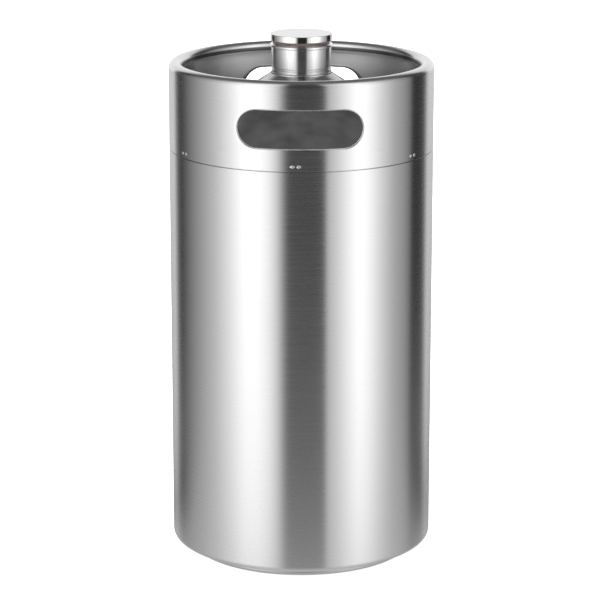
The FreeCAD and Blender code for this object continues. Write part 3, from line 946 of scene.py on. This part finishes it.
# Brightness of the studio wall at azimuths in degrees from the camera side, positive to the right
STUDIO_WALL = (
    # bright rear wall, then the dark flag on the left
    (-180, 0.95), (-143, 0.95), (-138, 0.25), (-135, 0.00), (-128, 0.01), (-121, 0.12),
    # left soft box, brightest near the camera
    (-96, 0.50), (-80, 0.82), (-64, 1.36), (-50, 1.95), (-38, 1.95), (-28, 1.60), (-20, 1.00),
    # dark gap round the camera
    (-15, 0.32), (-11, 0.01), (17, 0.01), (21, 0.04),
    # right soft box
    (23, 0.78), (30, 0.98), (40, 1.45), (52, 1.98), (62, 1.72), (74, 1.14), (88, 0.64),
    (101, 0.44), (109, 0.28),
    # the dark flag on the right, then the rear wall again
    (112, 0.03), (134, 0.01), (138, 0.40), (143, 0.92), (160, 0.95),
)


def wall_by_azimuth(net, across, depth):
    """The studio wall's brightness by azimuth alone, from the X and Y of a direction."""
    turn = net.math("ARCTAN2", across, net.math("MULTIPLY", depth, -1.0))
    share = net.math("ADD", net.math("DIVIDE", turn, 2 * math.pi), 0.5)
    ramp = net.add("ShaderNodeValToRGB")
    net.put(ramp.inputs["Fac"], share)
    stops = ramp.color_ramp.elements
    ramp.color_ramp.interpolation = "LINEAR"
    while len(stops) > 1:
        stops.remove(stops[-1])
    for number, (azimuth, level) in enumerate(STUDIO_WALL):
        position = (azimuth + 180) / 360
        stop = stops[0] if number == 0 else stops.new(position)
        stop.position = position
        # the ramp holds half of each level, and the product below makes up for it
        stop.color = grey(level / 2)
    return net.math("MULTIPLY", ramp.outputs["Color"], 2.0)


def studio_world():
    """Light from all round, as a function of direction only."""
    world = bpy.data.worlds.new("studio")
    bpy.context.scene.world = world
    world.use_nodes = True
    net = Nodes(world.node_tree)
    background = next(n for n in world.node_tree.nodes if n.type == "BACKGROUND")
    way = net.add("ShaderNodeTexCoord")
    across, depth, height = net.axes(way.outputs["Generated"])
    wall = wall_by_azimuth(net, across, depth)
    # the rear wall darkens towards the floor, and the soft boxes fade towards their tops
    rear = net.spread(depth, 0.0, 1.0, 0.70, 0.92)
    sink = net.spread(height, 0.2, 1.0, -0.34, -0.05)
    fade = net.spread(height, 1.0, 0.60, -0.10, 0.85)
    wall = net.math("MULTIPLY", wall, net.mix(rear, fade, sink))
    # no direction is quite black, least of all above eye level
    wall = net.math("MAXIMUM", wall, net.spread(height, 0.02, 0.05, -0.15, 0.15))
    # low down the pattern fades to an even grey, and the floor right below is pale
    wall = net.mix(net.fade_in(height, -0.30, -0.80), wall, 0.22)
    wall = net.mix(net.fade_in(height, -0.86, -0.96), wall, 0.80)
    # the dim ceiling comes lower behind the keg than over the camera
    behind = net.fade_in(depth, -0.10, 0.50)
    over = net.math("SUBTRACT", height, net.mix(behind, 0.80, 0.50))
    wall = net.mix(net.fade_in(over, 0.0, 0.18), wall, 0.14)
    net.put(background.inputs["Color"], wall)
    background.inputs["Strength"].default_value = 1.0


def level_square(name, reach, height, material):
    """A flat square centred on the keg's axis."""
    mesh = bpy.data.meshes.new(name)
    corners = [(x * reach, y * reach, height) for x, y in ((-1, -1), (1, -1), (1, 1), (-1, 1))]
    mesh.from_pydata(corners, [], [(0, 1, 2, 3)])
    mesh.materials.append(material)
    square = bpy.data.objects.new(name, mesh)
    bpy.context.scene.collection.objects.link(square)
    return square


def studio_floor():
    """The table, which the steel doesn't mirror."""
    floor = level_square("studio_floor", 15.0, -0.2 * MM, floor_material())
    floor.visible_glossy = False


def card_material():
    """Grey glow that fades out away from the keg, with the keg's shadow painted in as a dim patch
    straight behind it.
    """
    material = bpy.data.materials.new("studio_card")
    material.use_nodes = True
    net = Nodes(material.node_tree)
    output = next(n for n in material.node_tree.nodes if n.type == "OUTPUT_MATERIAL")
    here = net.add("ShaderNodeTexCoord")
    away = net.add("ShaderNodeVectorMath", operation="LENGTH")
    net.put(away.inputs[0], here.outputs["Object"])
    near = net.fade_out(away.outputs["Value"], 0.10, 0.95)
    across, depth, _ = net.axes(here.outputs["Object"])
    # painted shadow: the glow is dimmed straight behind the keg, where its shadow would fall
    behind = net.math("MULTIPLY", net.fade_in(depth, -0.02, 0.08),
                      net.fade_out(net.math("ABSOLUTE", across), 0.23, 0.35))
    glow = net.add("ShaderNodeEmission")
    net.put(glow.inputs["Color"], net.mix(behind, 0.68, 0.12))
    clear = net.add("ShaderNodeBsdfTransparent")
    both = net.add("ShaderNodeMixShader")
    net.put(both.inputs["Fac"], net.math("MULTIPLY", net.math("POWER", near, 2.0), 0.65))
    net.put(both.inputs[1], clear.outputs[0])
    net.put(both.inputs[2], glow.outputs[0])
    net.put(output.inputs["Surface"], both.outputs[0])
    return material


def studio_card():
    """A card round the foot that only the steel mirrors."""
    card = level_square("studio_card", 1.0, -0.1 * MM, card_material())
    card.visible_camera = False
    card.visible_diffuse = False
    card.visible_shadow = False


def studio_sun():
    """A broad overhead light, which the steel doesn't mirror."""
    lamp = bpy.data.lights.new("overhead_soft", "SUN")
    lamp.energy = 4.5
    lamp.angle = math.radians(75)
    sun = bpy.data.objects.new("overhead_soft", lamp)
    sun.visible_glossy = False
    bpy.context.scene.collection.objects.link(sun)


def photo_camera():
    """A long lens above the rim, a trace to the right, so that the front hole is left of middle."""
    # fitted to the outlines in the photo
    distance = 2.1311
    height = 0.7591
    azimuth = math.radians(0.6)
    pitch_down = 0.25332
    swing = 0.00051
    lens = bpy.data.cameras.new("camera")
    lens.lens = 159.79
    lens.sensor_width = 36
    lens.clip_end = 100
    camera = bpy.data.objects.new("camera", lens)
    camera.location = spin(distance, height, azimuth)
    camera.rotation_euler = (math.pi / 2 - pitch_down, 0, azimuth + swing)
    bpy.context.scene.collection.objects.link(camera)
    bpy.context.scene.camera = camera


# ---------------------------------------------------------------- assembly

brushed = brushed_steel("brushed_steel_sheet")
rolled = brushed_steel("brushed_steel_rolled_rim", rolled_rim=True)
pressed = pressed_steel()
# painted light: the collar's steel is paler than the cap's and the cone's, to brighten its
# reflection
turned = turned_steel("polished_steel_turned", 0.88, 0.22, 0.25, 1.0, lean=0.15)
spun = turned_steel("brushed_steel_spun", 0.78, 0.13, 0.17, 0.7, cloud=0.5)
polished = turned_steel("polished_steel_buffed", 0.78, 0.06, 0.10, 0.4)
weld = weld_metal("weld_metal_bare", 0.80)

body_shell(brushed)
base_pan(pressed)
shoulder_cone(spun)
handle_ring(rolled)
collar(turned)
neck_thread_z = COLLAR_LOW.z + NECK_THREAD_RISE
thread("neck_thread_ridge", COLLAR_BORE, -1, neck_thread_z, polished, "keg")
cap_disc(polished)
plug(polished)
plug_thread_z = COLLAR_LOW.z + PLUG_THREAD_RISE
thread("plug_thread_ridge", PLUG_CORE, 1, plug_thread_z, polished, "cap")
seal(silicone())
neck_weld(spun)
base_weld(weld)
# painted highlight: the dots' weld metal is paler than the bead's, so they show white
weld_dots(weld_metal("weld_metal_dots", 0.97))

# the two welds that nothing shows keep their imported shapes
for hidden in ("shoulder_weld", "cap_weld"):
    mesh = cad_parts[hidden].data
    mesh.materials.clear()
    mesh.materials.append(weld)

studio_world()
studio_floor()
studio_card()
studio_sun()
photo_camera()
bpy.context.scene.view_settings.view_transform = "Standard"
